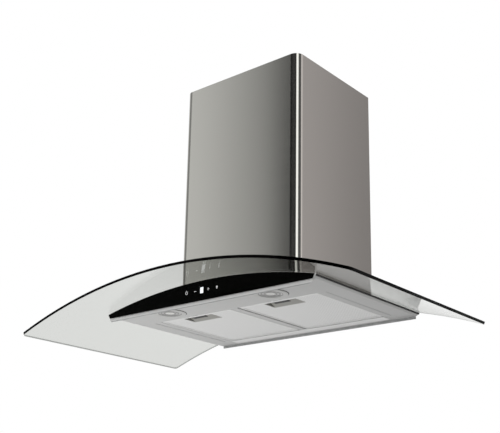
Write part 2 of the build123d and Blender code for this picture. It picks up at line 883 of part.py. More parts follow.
# ---------------------------------------------------------------------------------------------
# Blower: a scroll in two halves round a wheel with forward blades
# ---------------------------------------------------------------------------------------------


def scroll_outline(depth, top):
    """Inside of the scroll: three quarter turns, each one step wider, and a straight outlet."""
    half_step = spiral_step / 2
    low_centre = (axle_x - half_step, axle_height - half_step)
    left_centre = (axle_x - half_step, axle_height + half_step)
    right_centre = (axle_x + half_step, axle_height - half_step)
    with BuildSketch(depth_plane(depth)) as face:
        with BuildLine():
            left = CenterArc(left_centre, spiral_start + 2 * spiral_step, 180, 90)
            CenterArc(low_centre, spiral_start + spiral_step, 270, 90)
            right = CenterArc(right_centre, spiral_start, 0, 90)
            Line(left @ 0, (scroll_left, top))
            Line((scroll_left, top), (scroll_right, top))
            Line((scroll_right, top), right @ 1)
        make_face()
    return face.sketch


scroll_flange_low = scroll_top - scroll_wall

for name, plate_depth, wall_depth, plate_hole in (
    ("scroll_rear", motor_front, scroll_back, bearing_radius + hub_margin),
    ("scroll_front", scroll_front_depth, box_middle, inlet_radius),
):
    with BuildPart() as scroll:
        half_start = min(plate_depth, wall_depth)
        half_length = scroll_width / 2 + scroll_wall
        with BuildSketch(depth_plane(half_start)):
            add(scroll_outline(half_start, scroll_top + scroll_wall))
            offset(amount=scroll_wall, kind=Kind.ARC, mode=Mode.REPLACE)
        extrude(amount=half_length)
        with BuildSketch(depth_plane(half_start)):
            with Locations((0, scroll_top - scroll_wall / 2)):
                Rectangle(scroll_right - scroll_left + 2 * (scroll_wall + scroll_flange), scroll_wall)
        extrude(amount=half_length)
        extrude(
            scroll_outline(wall_depth, scroll_top + 4 * scroll_wall),
            amount=scroll_width / 2,
            mode=Mode.SUBTRACT,
        )
        split(bisect_by=Plane.XY.offset(scroll_top), keep=Keep.BOTTOM)
        with BuildSketch(depth_plane(plate_depth)):
            with Locations((axle_x, axle_height)):
                Circle(plate_hole)
                if name == "scroll_rear":
                    with PolarLocations(motor_screw_ring, 3):
                        Circle(screw_radius + screw_play)
        extrude(amount=scroll_wall, mode=Mode.SUBTRACT)
        with BuildSketch(Plane.XY.offset(scroll_flange_low)):
            with Locations((0, -box_middle)):
                with Locations(*scroll_screw_places):
                    Circle(screw_radius + screw_play)
        extrude(amount=scroll_wall, mode=Mode.SUBTRACT)
    scroll.part.label = name
    export_step(scroll.part, f"parts/{name}.step")

with BuildPart() as impeller:
    with BuildSketch(depth_plane(wheel_back)):
        with Locations((axle_x, axle_height)):
            Circle(wheel_radius)
    extrude(amount=wheel_plate)
    with BuildSketch(depth_plane(wheel_back + wheel_plate)):
        with Locations((axle_x, axle_height)):
            Circle(hub_radius)
            with PolarLocations(wheel_radius - blade_chord / 2, blade_count):
                Rectangle(blade_chord, blade_thick, rotation=blade_turn)
    extrude(amount=hub_length)
    with BuildSketch(depth_plane(wheel_back + wheel_plate + hub_length)):
        with Locations((axle_x, axle_height)):
            with PolarLocations(wheel_radius - blade_chord / 2, blade_count):
                Rectangle(blade_chord, blade_thick, rotation=blade_turn)
    extrude(amount=blade_length - hub_length)
    with BuildSketch(depth_plane(wheel_back + wheel_plate + blade_length)):
        with Locations((axle_x, axle_height)):
            Circle(wheel_radius)
            Circle(wheel_radius - blade_chord, mode=Mode.SUBTRACT)
    extrude(amount=-wheel_plate)
    with BuildSketch(depth_plane(wheel_back)):
        with Locations((axle_x, axle_height)):
            Circle(shaft_radius + running)
    extrude(amount=wheel_plate + hub_length, mode=Mode.SUBTRACT)
impeller.part.label = "impeller"
export_step(impeller.part, "parts/impeller.step")

with BuildPart() as motor_shaft:
    with BuildSketch(depth_plane(motor_back + running)):
        with Locations((axle_x, axle_height)):
            Circle(shaft_radius)
    extrude(amount=wheel_back + wheel_plate + hub_length + shaft_end_gap - motor_back)
motor_shaft.part.label = "motor_shaft"
export_step(motor_shaft.part, "parts/motor_shaft.step")

# Motor: a closed can with a bearing at each end, the stator and the rotor
boss_length = bearing_length + motor_wall
boss_radius = bearing_radius + boss_wall
rotor_back = (motor_back + motor_front - stator_length) / 2

with BuildPart() as motor_housing:
    with BuildSketch(depth_plane(motor_back)):
        with Locations((axle_x, axle_height)):
            Circle(motor_radius)
    extrude(amount=motor_length)
    with BuildSketch(depth_plane(motor_back + motor_wall)):
        with Locations((axle_x, axle_height)):
            Circle(motor_radius - motor_wall)
    extrude(amount=motor_length - 2 * motor_wall, mode=Mode.SUBTRACT)
    for boss_back in (motor_back, motor_front - boss_length):
        with BuildSketch(depth_plane(boss_back)):
            with Locations((axle_x, axle_height)):
                Circle(boss_radius)
        extrude(amount=boss_length)
    with BuildSketch(depth_plane(motor_back)):
        with Locations((axle_x, axle_height)):
            Circle(bearing_radius + running)
    extrude(amount=motor_length, mode=Mode.SUBTRACT)
    with BuildSketch(depth_plane(motor_front - motor_wall)):
        with Locations((axle_x, axle_height)):
            with PolarLocations(motor_screw_ring, 3):
                Circle(screw_radius + running)
    extrude(amount=motor_wall, mode=Mode.SUBTRACT)
motor_housing.part.label = "motor_housing"
export_step(motor_housing.part, "parts/motor_housing.step")

with BuildPart() as motor_bearings:
    for bearing_back in (motor_back, motor_front - bearing_length):
        with BuildSketch(depth_plane(bearing_back)):
            with Locations((axle_x, axle_height)):
                Circle(bearing_radius)
                Circle(shaft_radius + running, mode=Mode.SUBTRACT)
        extrude(amount=bearing_length)
motor_bearings.part.label = "motor_bearings"
export_step(motor_bearings.part, "parts/motor_bearings.step")

with BuildPart() as motor_stator:
    with BuildSketch(depth_plane(rotor_back)):
        with Locations((axle_x, axle_height)):
            Circle(motor_radius - motor_wall - mesh_fit)
            Circle(rotor_radius + air_gap, mode=Mode.SUBTRACT)
    extrude(amount=stator_length)
motor_stator.part.label = "motor_stator"
export_step(motor_stator.part, "parts/motor_stator.step")

with BuildPart() as motor_rotor:
    with BuildSketch(depth_plane(rotor_back)):
        with Locations((axle_x, axle_height)):
            Circle(rotor_radius)
            Circle(shaft_radius + running, mode=Mode.SUBTRACT)
    extrude(amount=stator_length)
motor_rotor.part.label = "motor_rotor"
export_step(motor_rotor.part, "parts/motor_rotor.step")

# ---------------------------------------------------------------------------------------------
# Outlet collar with two flaps that hang on one pin and close by their own weight
# ---------------------------------------------------------------------------------------------

collar_inner = collar_radius - collar_wall
ledge_top = flap_height - flap_thick / 2 - ledge_gap

with BuildPart() as outlet_collar:
    with BuildSketch(Plane.XY.offset(box_top)):
        with Locations((0, -box_middle)):
            Circle(collar_radius + collar_flange)
    extrude(amount=collar_wall)
    with BuildSketch(Plane.XY.offset(box_top)):
        with Locations((0, -box_middle)):
            Circle(collar_radius)
    extrude(amount=collar_height)
    with BuildSketch(Plane.XY.offset(box_top)):
        with Locations((0, -box_middle)):
            Circle(collar_inner)
    extrude(amount=collar_height, mode=Mode.SUBTRACT)
    with BuildSketch(Plane.XY.offset(ledge_top)):
        with Locations((0, -box_middle)):
            Circle(collar_inner)
            Circle(collar_inner - ledge_width, mode=Mode.SUBTRACT)
    extrude(amount=-ledge_height)
    with BuildSketch(depth_plane(box_middle - collar_radius)):
        with Locations((0, flap_height)):
            Circle(flap_pin_radius + running)
    extrude(amount=2 * collar_radius, mode=Mode.SUBTRACT)
    with BuildSketch(Plane.XY.offset(box_top)):
        with Locations((0, -box_middle)):
            with PolarLocations(collar_screw_ring, 4, start_angle=45):
                Circle(screw_radius + screw_play)
    extrude(amount=collar_wall, mode=Mode.SUBTRACT)
outlet_collar.part.label = "outlet_collar"
export_step(outlet_collar.part, "parts/outlet_collar.step")

with BuildPart() as flap_pin:
    with BuildSketch(depth_plane(box_middle - collar_inner - collar_wall / 2)):
        with Locations((0, flap_height)):
            Circle(flap_pin_radius)
    extrude(amount=2 * collar_inner + collar_wall)
flap_pin.part.label = "flap_pin"
export_step(flap_pin.part, "parts/flap_pin.step")

flap_radius = collar_inner - flap_gap
plate_start = knuckle_radius + knuckle_clear

for name, side in sides:
    knuckle_depths = [box_middle - side * knuckle_far, box_middle + side * knuckle_near]
    with BuildPart() as flap:
        with BuildSketch(Plane.XY.offset(flap_height - flap_thick / 2)):
            with Locations((0, -box_middle)):
                Circle(flap_radius)
                with Locations((side * (plate_start + flap_radius) / 2, 0)):
                    Rectangle(flap_radius - plate_start, 2 * flap_radius, mode=Mode.INTERSECT)
                with Locations(*[(side * plate_start, box_middle - d) for d in knuckle_depths]):
                    Rectangle(knuckle_strap, knuckle_length)
        extrude(amount=flap_thick)
        for knuckle_depth in knuckle_depths:
            with BuildSketch(depth_plane(knuckle_depth - knuckle_length / 2)):
                with Locations((0, flap_height)):
                    Circle(knuckle_radius)
            extrude(amount=knuckle_length)
        with BuildSketch(depth_plane(box_middle - flap_radius)):
            with Locations((0, flap_height)):
                Circle(flap_pin_radius + running)
        extrude(amount=2 * flap_radius, mode=Mode.SUBTRACT)
    flap.part.label = f"flap_{name}"
    export_step(flap.part, f"parts/flap_{name}.step")

# ---------------------------------------------------------------------------------------------
# Electronics case on the front of the blower box
# ---------------------------------------------------------------------------------------------

case_low = frame_top + case_rise
case_middle = case_low + case_height / 2
case_back = box_front
case_front = case_back + case_wall + case_room
board_low_depth = case_back + case_wall + case_post_height
case_post_places = [
    (case_x + x * (case_width / 2 - case_post_inset), case_middle + z * (case_height / 2 - case_post_inset))
    for x in (-1, 1)
    for z in (-1, 1)
]
gland_x = case_x + case_width / 4
gland_depth = (case_back + case_front) / 2

with BuildPart() as electronics_box:
    with BuildSketch(depth_plane(case_back)):
        with Locations((case_x, case_middle)):
            RectangleRounded(case_width, case_height, 2 * case_wall)
    extrude(amount=case_wall + case_room)
    with BuildSketch(depth_plane(case_back + case_wall)):
        with Locations((case_x, case_middle)):
            RectangleRounded(case_width - 2 * case_wall, case_height - 2 * case_wall, case_wall)
    extrude(amount=case_room, mode=Mode.SUBTRACT)
    with BuildSketch(depth_plane(case_back + case_wall)):
        with Locations(*case_post_places):
            Circle(case_post_radius)
    extrude(amount=case_post_height)
    with BuildSketch(depth_plane(case_back)):
        with Locations((lead_hole_x, axle_height)):
            Circle(lead_hole_radius)
    extrude(amount=case_wall, mode=Mode.SUBTRACT)
    with BuildSketch(Plane.XY.offset(case_low + case_height - case_wall)):
        with Locations((gland_x, -gland_depth)):
            Circle(gland_radius + running)
    extrude(amount=case_wall, mode=Mode.SUBTRACT)
electronics_box.part.label = "electronics_box"
export_step(electronics_box.part, "parts/electronics_box.step")

with BuildPart() as electronics_lid:
    with BuildSketch(depth_plane(case_front)):
        with Locations((case_x, case_middle)):
            RectangleRounded(case_width, case_height, 2 * case_wall)
    extrude(amount=case_wall)
    with BuildSketch(depth_plane(case_front)):
        with Locations((case_x, case_middle)):
            RectangleRounded(
                case_width - 2 * case_wall - 2 * seam,
                case_height - 2 * case_wall - 2 * seam,
                case_wall,
            )
    extrude(amount=-case_wall)
electronics_lid.part.label = "electronics_lid"
export_step(electronics_lid.part, "parts/electronics_lid.step")

power_board_front = board_low_depth + board_thick
transformer_place = (gland_x, case_middle - case_height / 5)

with BuildPart() as power_board:
    with BuildSketch(depth_plane(board_low_depth)):
        with Locations((case_x, case_middle)):
            Rectangle(
                case_width - 2 * (case_wall + power_board_margin),
                case_height - 2 * (case_wall + power_board_margin),
            )
    extrude(amount=board_thick)
    with BuildSketch(depth_plane(power_board_front)):
        with Locations((gland_x, case_middle + case_height / 4)):
            Rectangle(terminal_width, terminal_depth)
    extrude(amount=terminal_rise)
power_board.part.label = "power_board"
export_step(power_board.part, "parts/power_board.step")

with BuildPart() as transformer:
    with BuildSketch(depth_plane(power_board_front)):
        with Locations(transformer_place):
            Rectangle(core_width, core_height)
    extrude(amount=core_rise)
    with BuildSketch(depth_plane(power_board_front)):
        with Locations(transformer_place):
            Rectangle(winding_width, winding_height)
    extrude(amount=component_rise)
transformer.part.label = "transformer"
export_step(transformer.part, "parts/transformer.step")

with BuildPart() as motor_capacitor:
    with BuildSketch(depth_plane(power_board_front)):
        with Locations((case_x - case_width / 5, case_middle)):
            RectangleRounded(capacitor_width, capacitor_height, capacitor_corner)
    extrude(amount=component_rise)
motor_capacitor.part.label = "motor_capacitor"
export_step(motor_capacitor.part, "parts/motor_capacitor.step")

# Gland for the mains lead, through the top of the case
gland_seat = case_low + case_height
gland_foot = gland_seat - case_wall - gland_inside

with BuildPart() as cable_gland:
    with BuildSketch(Plane.XY.offset(gland_foot)):
        with Locations((gland_x, -gland_depth)):
            Circle(gland_radius)
    extrude(amount=gland_seat + gland_height - gland_foot)
    with BuildSketch(Plane.XY.offset(gland_seat)):
        with Locations((gland_x, -gland_depth)):
            RegularPolygon(gland_nut, 6)
    extrude(amount=gland_nut_height)
    chamfer(cable_gland.faces().sort_by(Axis.Z)[-1].edges(), length=gland_chamfer)
    with BuildSketch(Plane.XY.offset(gland_foot)):
        with Locations((gland_x, -gland_depth)):
            Circle(gland_bore)
    extrude(amount=gland_seat + gland_height - gland_foot, mode=Mode.SUBTRACT)
cable_gland.part.label = "cable_gland"
export_step(cable_gland.part, "parts/cable_gland.step")

# ---------------------------------------------------------------------------------------------
# Chimney covers, the upper one inside the lower
# ---------------------------------------------------------------------------------------------


def chimney_plan(height, half_width, front, back, corner, lip):
    """Plan of a cover: a folded sheet with round front corners and a lip along each back edge."""
    with BuildSketch(Plane.XY.offset(height)) as plan:
        with Locations((0, -(front + back) / 2)):
            Rectangle(2 * half_width, front - back)
        fillet(plan.vertices().group_by(Axis.Y)[0], radius=corner)
        offset(amount=-sheet, mode=Mode.SUBTRACT)
        with Locations((0, -back)):
            Rectangle(2 * (half_width - lip), 4 * sheet, mode=Mode.SUBTRACT)
    return plan.sketch


chimney_foot = curve_height(glass_top, chimney_width / 2) - glass_thick

with BuildPart() as chimney_lower:
    lower_plan = chimney_plan(
        chimney_foot, chimney_width / 2, chimney_depth, plate_thick, chimney_corner, chimney_lip
    )
    extrude(lower_plan, amount=chimney_top - chimney_foot)
    extrude(disc_under(glass_top + slip), amount=2 * chimney_depth, mode=Mode.SUBTRACT)
    with BuildSketch(depth_plane(plate_thick)):
        with Locations(*chimney_screw_places):
            Circle(screw_radius + screw_play)
    extrude(amount=sheet, mode=Mode.SUBTRACT)
chimney_lower.part.label = "chimney_lower"
export_step(chimney_lower.part, "parts/chimney_lower.step")

upper_half = chimney_width / 2 - sheet - slip
upper_front = chimney_depth - sheet - slip
upper_back = plate_thick + upper_set_back
upper_top = chimney_top - upper_drop
upper_foot = frame_top + upper_foot_rise
upper_corner = chimney_corner - sheet - slip

bracket_top = upper_top - bracket_below_top
bracket_low = bracket_top - bracket_height
bracket_arm_half = upper_half - sheet - bracket_side_gap
ceiling_screw_x = upper_half - chimney_lip / 2
ceiling_screw_places = [(x, (bracket_low + bracket_top) / 2) for x in (-ceiling_screw_x, ceiling_screw_x)]

with BuildPart() as chimney_upper:
    upper_plan = chimney_plan(
        upper_foot, upper_half, upper_front, upper_back, upper_corner, chimney_lip
    )
    extrude(upper_plan, amount=upper_top - upper_foot)
    with BuildSketch(depth_plane(upper_back)):
        with Locations(*ceiling_screw_places):
            Circle(screw_radius + screw_play)
    extrude(amount=sheet, mode=Mode.SUBTRACT)
chimney_upper.part.label = "chimney_upper"
export_step(chimney_upper.part, "parts/chimney_upper.step")

# Bracket for the ceiling end: it stands off the wall at its middle and holds the cover's lips
with BuildPart() as ceiling_bracket:
    with BuildSketch(Plane.XY.offset(bracket_low)):
        with Locations((0, -bracket_wall_clear - bracket_thick / 2)):
            Rectangle(2 * bracket_inner_half, bracket_thick)
        for side in (-1, 1):
            with Locations(
                (side * (bracket_inner_half - bracket_thick / 2), -(bracket_wall_clear + upper_back) / 2)
            ):
                Rectangle(bracket_thick, upper_back - bracket_wall_clear)
            with Locations(
                (side * (bracket_inner_half + bracket_arm_half) / 2, -upper_back + bracket_thick / 2)
            ):
                Rectangle(bracket_arm_half - bracket_inner_half, bracket_thick)
    extrude(amount=bracket_height)
    with BuildSketch(depth_plane(bracket_wall_clear)):
        with Locations(*[(side * bracket_slot_x, (bracket_low + bracket_top) / 2) for _, side in sides]):
            SlotOverall(bracket_slot_length, bracket_slot_width)
    extrude(amount=bracket_thick, mode=Mode.SUBTRACT)
    with BuildSketch(depth_plane(upper_back - bracket_thick)):
        with Locations(*ceiling_screw_places):
            Circle(screw_radius + running)
    extrude(amount=bracket_thick, mode=Mode.SUBTRACT)
ceiling_bracket.part.label = "ceiling_bracket"
export_step(ceiling_bracket.part, "parts/ceiling_bracket.step")

# Angles on the sides of the box, on which the upper cover stands when it is pushed in
rest_top = upper_foot - rest_clear

with BuildPart() as chimney_rests:
    with BuildSketch(depth_plane(box_middle - rest_length / 2)):
        for side in (-1, 1):
            with Locations((side * (box_half + upper_half) / 2, rest_top - rest_thick / 2)):
                Rectangle(upper_half - box_half, rest_thick)
            with Locations((side * (box_half + rest_thick / 2), rest_top - rest_height / 2)):
                Rectangle(rest_thick, rest_height)
    extrude(amount=rest_length)
chimney_rests.part.label = "chimney_rests"
export_step(chimney_rests.part, "parts/chimney_rests.step")

# ---------------------------------------------------------------------------------------------
# Grease filters: frame, mesh pack, and the latch in its pocket
# ---------------------------------------------------------------------------------------------

filter_length = filter_front - filter_back
filter_middle = (filter_front + filter_back) / 2
pocket_middle = (pocket_back + pocket_front) / 2
roof_height = mesh_high - pocket_roof
slide_pad_top = roof_height - seam
slide_back = slide_front - slide_pad_length
post_back = slide_back + post_set_in
lug_front = post_back - spring_length - mesh_fit
bolt_high = bolt_low + bolt_thick
spring_height = mesh_high + mesh_fit + spring_radius
post_top = spring_height + spring_radius + seam
layer_gap = mesh_fit
mesh_width = filter_width - 2 * (rail_wall + mesh_fit)
mesh_length = filter_length - 2 * (rail_wall + mesh_fit)

for name, side in sides:
    center_x = side * filter_x

    with BuildPart() as filter_frame:
        with BuildSketch(Plane.XY):
            with Locations((center_x, -filter_middle)):
                Rectangle(filter_width, filter_length)
        extrude(amount=filter_thick)
        chamfer(filter_frame.faces().sort_by(Axis.Z)[0].edges(), length=filter_chamfer)
        with BuildSketch(Plane.XY):
            with Locations((center_x, -filter_middle)):
                Rectangle(filter_width - 2 * rail_lip, filter_length - 2 * rail_lip)
        extrude(amount=filter_thick, mode=Mode.SUBTRACT)
        with BuildSketch(Plane.XY.offset(rail_thick)):
            with Locations((center_x, -filter_middle)):
                Rectangle(filter_width - 2 * rail_wall, filter_length - 2 * rail_wall)
        extrude(amount=filter_thick - 2 * rail_thick, mode=Mode.SUBTRACT)
        with BuildSketch(Plane.XY.offset(hinge_height)):
            for tab_side in (-1, 1):
                tab_x = center_x + tab_side * tab_spacing / 2
                with Locations((tab_x, -filter_back + (tab_length - rail_wall) / 2)):
                    Rectangle(tab_width, tab_length + rail_wall)
        extrude(amount=tab_thick)
        with BuildSketch(depth_plane(filter_front - rail_wall)):
            with Locations((center_x, (bolt_low + bolt_high) / 2)):
                Rectangle(bolt_width + 2 * bolt_play, bolt_thick + 2 * bolt_play)
        extrude(amount=rail_wall, mode=Mode.SUBTRACT)
    filter_frame.part.label = f"filter_frame_{name}"
    export_step(filter_frame.part, f"parts/filter_frame_{name}.step")

    # Face mesh, wool and back mesh, cut out round the pocket
    with BuildPart() as filter_mesh:
        for low, high in (
            (mesh_low, mesh_low + mesh_skin),
            (mesh_low + mesh_skin + layer_gap, mesh_high - mesh_skin - layer_gap),
            (mesh_high - mesh_skin, mesh_high),
        ):
            with BuildSketch(Plane.XY.offset(low)):
                with Locations((center_x, -filter_middle)):
                    Rectangle(mesh_width, mesh_length)
                with Locations((center_x, -(pocket_back - mesh_fit + filter_front) / 2)):
                    Rectangle(
                        pocket_width + 2 * mesh_fit,
                        filter_front - pocket_back + mesh_fit,
                        mode=Mode.SUBTRACT,
                    )
            extrude(amount=high - low)
    filter_mesh.part.label = f"filter_mesh_{name}"
    export_step(filter_mesh.part, f"parts/filter_mesh_{name}.step")

    # Pocket: level roof in front, then a ramp down to the filter's face, and a lug for the spring
    with BuildPart() as latch_pocket:
        with BuildSketch(Plane.XY.offset(mesh_low)):
            with Locations((center_x, -pocket_middle)):
                Rectangle(pocket_width, pocket_length)
        extrude(amount=mesh_high - mesh_low)
        with BuildSketch(Plane.XY.offset(mesh_low)):
            with Locations((center_x, -pocket_middle + pocket_flange / 2)):
                Rectangle(pocket_width + 2 * pocket_flange, pocket_length + pocket_flange)
        extrude(amount=-rail_thick / 2)
        with BuildSketch(Plane.XY.offset(mesh_high)):
            with Locations((center_x, -lug_front + lug_thick / 2)):
                Rectangle(2 * spring_radius, lug_thick)
        extrude(amount=post_top - mesh_high)
        cavity_low = mesh_low - rail_thick / 2
        with BuildSketch(Plane.YZ.offset(center_x - pocket_width / 2 + pocket_wall)):
            Polygon(
                (-pocket_cavity_front, cavity_low),
                (-pocket_cavity_front, roof_height),
                (-pocket_cavity_front + pocket_flat, roof_height),
                (-pocket_back - pocket_wall, cavity_low),
                align=None,
            )
        extrude(amount=pocket_width - 2 * pocket_wall, mode=Mode.SUBTRACT)
        with BuildSketch(depth_plane(pocket_cavity_front)):
            with Locations((center_x, (bolt_low + bolt_high) / 2)):
                Rectangle(bolt_width + 2 * bolt_play, bolt_thick + 2 * bolt_play)
        extrude(amount=pocket_wall, mode=Mode.SUBTRACT)
        slot_back = post_back - slide_travel - bolt_play
        slot_front = post_back + post_length + bolt_play
        with BuildSketch(Plane.XY.offset(roof_height)):
            with Locations((center_x, -(slot_back + slot_front) / 2)):
                Rectangle(post_width + 2 * bolt_play, slot_front - slot_back)
        extrude(amount=pocket_roof, mode=Mode.SUBTRACT)
    latch_pocket.part.label = f"latch_pocket_{name}"
    export_step(latch_pocket.part, f"parts/latch_pocket_{name}.step")

    with BuildPart() as latch_slider:
        with BuildSketch(Plane.XY.offset(rail_thick)):
            with Locations((center_x, -(slide_back + slide_front) / 2)):
                Rectangle(slide_pad_width, slide_pad_length)
        extrude(amount=slide_pad_top - rail_thick)
        with BuildSketch(Plane.XY.offset(bolt_low)):
            with Locations((center_x, -(post_back + filter_front + bolt_reach) / 2)):
                Rectangle(bolt_width, filter_front + bolt_reach - post_back)
        extrude(amount=bolt_thick)
        with BuildSketch(Plane.XY.offset(slide_pad_top / 2)):
            with Locations((center_x, -post_back - post_length / 2)):
                Rectangle(post_width, post_length)
        extrude(amount=post_top - slide_pad_top / 2)
    latch_slider.part.label = f"latch_slider_{name}"
    export_step(latch_slider.part, f"parts/latch_slider_{name}.step")

    # Return spring, in the closed form of its coil, between the pocket's lug and the slider
    with BuildPart() as latch_spring:
        with BuildSketch(depth_plane(post_back - spring_length)):
            with Locations((center_x, spring_height)):
                Circle(spring_radius)
                Circle(spring_radius / 2, mode=Mode.SUBTRACT)
        extrude(amount=spring_length)
    latch_spring.part.label = f"latch_spring_{name}"
    export_step(latch_spring.part, f"parts/latch_spring_{name}.step")

    # Leaf catch in the pan's notch: the bolt lies over it, and it gives way when the filter is pulled
    catch_tip = opening_front + catch_play
    catch_step = catch_back - mesh_fit
    with BuildPart() as filter_catch:
        with BuildSketch(Plane.YZ.offset(center_x - catch_width / 2)):
            Polygon(
                (-catch_tip, seam),
                (-catch_step, seam),
                (-catch_step, sheet),
                (-catch_step - catch_foot, sheet),
                (-catch_step - catch_foot, sheet + catch_thick),
                (-catch_step + catch_thick, sheet + catch_thick),
                (-catch_step + catch_thick, seam + catch_thick),
                (-catch_tip, seam + catch_thick),
                align=None,
            )
        extrude(amount=catch_width)
    filter_catch.part.label = f"filter_catch_{name}"
    export_step(filter_catch.part, f"parts/filter_catch_{name}.step")

# ---------------------------------------------------------------------------------------------
# Screws, and the leads inside the hood
# ---------------------------------------------------------------------------------------------

screw_seats = [
    (depth_plane(plate_thick + sheet), body_screw_places, sheet + plate_thick),
    (depth_plane(plate_thick + sheet), box_screw_places, sheet + plate_thick),
    (depth_plane(plate_thick + sheet), chimney_screw_places, sheet + plate_thick),
    (
        depth_plane(scroll_back),
        [
            (
                axle_x + motor_screw_ring * cos(radians(turn)),
                axle_height + motor_screw_ring * sin(radians(turn)),
            )
            for turn in motor_screw_turns
        ],
        scroll_wall + motor_wall,
    ),
    (
        Plane(origin=(0, -box_middle, scroll_flange_low), x_dir=(1, 0, 0), z_dir=(0, 0, -1)),
        scroll_screw_places,
        scroll_wall + sheet,
    ),
    (
        Plane.XY.offset(box_top + collar_wall),
        [
            (
                collar_screw_ring * cos(radians(turn)),
                -box_middle + collar_screw_ring * sin(radians(turn)),
            )
            for turn in collar_screw_turns
        ],
        collar_wall + sheet,
    ),
    (Plane.YZ.offset(lid_half), lid_screw_places, 2 * sheet + seam),
    (
        Plane(origin=(-lid_half, 0, 0), x_dir=(0, -1, 0), z_dir=(-1, 0, 0)),
        [(-y, z) for y, z in lid_screw_places],
        2 * sheet + seam,
    ),
]

with BuildPart() as case_screws:
    for seat, places, grip in screw_seats:
        with BuildSketch(seat):
            with Locations(*places):
                Circle(screw_head_radius)
        extrude(amount=screw_head_height)
        with BuildSketch(seat):
            with Locations(*places):
                Circle(screw_radius)
        extrude(amount=screw_tip_gap - grip)
case_screws.part.label = "case_screws"
export_step(case_screws.part, "parts/case_screws.step")

with BuildPart() as ceiling_screws:
    with BuildSketch(depth_plane(upper_back + sheet)):
        with Locations(*ceiling_screw_places):
            Circle(screw_head_radius)
    extrude(amount=screw_head_height)
    with BuildSketch(depth_plane(upper_back + sheet)):
        with Locations(*ceiling_screw_places):
            Circle(screw_radius)
    extrude(amount=screw_tip_gap - sheet - bracket_thick)
ceiling_screws.part.label = "ceiling_screws"
export_step(ceiling_screws.part, "parts/ceiling_screws.step")


def lead(route):
    """Solid of a lead along straight runs joined by tangent arcs."""
    runs = [(b - a).length for a, b in zip(route, route[1:])]
    bends = []
    for index in range(1, len(route) - 1):
        turn = (route[index] - route[index - 1]).get_angle(route[index + 1] - route[index])
        shorter = min(runs[index - 1], runs[index])
        widest = 0.45 * shorter * cos(radians(turn / 2)) / sin(radians(turn / 2))
        bends.append(min(lead_bend, widest))
    print("bend radii of a lead:", [round(bend, 1) for bend in bends])
    start = Plane(origin=route[0], z_dir=route[1] - route[0])
    with BuildPart() as tube:
        with BuildLine():
            FilletPolyline(*route, radius=bends)
        with BuildSketch(start):
            Circle(lead_radius)
        sweep()
    return tube.part


board_end = board_low_depth - screw_tip_gap
motor_lead_depth = (motor_back + motor_front) / 2
motor_lead_height = axle_height + lead_apart / 2
drop_lead_height = axle_height - lead_apart / 2
motor_side = axle_x - motor_radius - mesh_fit
motor_lead = lead(
    [
        Vector(lead_hole_x, -board_end, motor_lead_height),
        Vector(lead_hole_x, -motor_lead_depth, motor_lead_height),
        Vector(motor_side, -motor_lead_depth, motor_lead_height),
    ]
)
board_lead_end = board_width / 2 - lead_in_cover
lead_drop_depth = air_front - lead_drop_inset
panel_lead = lead(
    [
        Vector(lead_hole_x, -board_end, drop_lead_height),
        Vector(lead_hole_x, -lead_drop_depth, drop_lead_height),
        Vector(lead_hole_x, -lead_drop_depth, panel_lead_height),
        Vector(lead_hole_x, -board_lead_depth, panel_lead_height),
        Vector(-board_lead_end, -board_lead_depth, panel_lead_height),
    ]
)
lamp_leads = []
lamp_lead_bend = cover_half + lamp_lead_straight
for _, side in sides:
    lamp = Vector(side * lamp_spacing / 2, -lamp_depth, lamp_lead_height)
    bend = Vector(side * lamp_lead_bend, -board_lead_depth, lamp_lead_height)
    reach = (lamp - bend).length - can_inner - lamp_can_wall - mesh_fit
    lamp_leads.append(
        lead(
            [
                Vector(side * board_lead_end, -board_lead_depth, lamp_lead_height),
                bend,
                bend + (lamp - bend).normalized() * reach,
            ]
        )
    )

wiring = Compound(label="wiring", children=[motor_lead, panel_lead, *lamp_leads])
export_step(wiring, "parts/wiring.step")
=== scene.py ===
import json
from math import cos, pi, radians, sin

import bpy
from mathutils import Matrix, Vector


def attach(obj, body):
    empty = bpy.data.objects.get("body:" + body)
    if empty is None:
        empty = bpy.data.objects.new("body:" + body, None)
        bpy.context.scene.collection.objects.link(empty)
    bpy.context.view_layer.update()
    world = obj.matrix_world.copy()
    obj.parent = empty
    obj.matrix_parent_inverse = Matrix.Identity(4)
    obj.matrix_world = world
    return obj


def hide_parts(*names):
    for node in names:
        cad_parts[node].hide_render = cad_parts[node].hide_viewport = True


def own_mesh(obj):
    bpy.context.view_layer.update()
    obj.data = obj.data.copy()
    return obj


# Curved glass range hood: materials, trim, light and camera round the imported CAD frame.
# Lengths are in metres in the frame's own axes, but in millimetres in the materials and the trim.

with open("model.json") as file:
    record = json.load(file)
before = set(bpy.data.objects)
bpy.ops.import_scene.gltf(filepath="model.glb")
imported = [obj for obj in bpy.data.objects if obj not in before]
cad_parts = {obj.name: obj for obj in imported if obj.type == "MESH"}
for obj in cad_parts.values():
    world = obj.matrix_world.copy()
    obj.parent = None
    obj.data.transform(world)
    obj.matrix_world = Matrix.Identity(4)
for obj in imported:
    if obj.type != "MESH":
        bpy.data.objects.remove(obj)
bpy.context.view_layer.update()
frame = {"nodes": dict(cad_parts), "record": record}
nodes = frame["nodes"]
record = frame["record"]
sides = (("left", -1), ("right", 1))
surfaces = {}


def place_object(name, data):
    made = bpy.data.objects.new(name, data)
    bpy.context.scene.collection.objects.link(made)
    return made


# ---------------------------------------------------------------------------------------------
# Camera
# ---------------------------------------------------------------------------------------------

picture_width = 500
focal_px = 945.56
sensor_width = 36.0
near_clip = 0.01
camera_place = (1.30549, -1.79637, -0.49819)
camera_turn = radians(39.95)
camera_pitch = radians(16.0)
camera_roll = radians(1.03)
camera_shift = 0.12


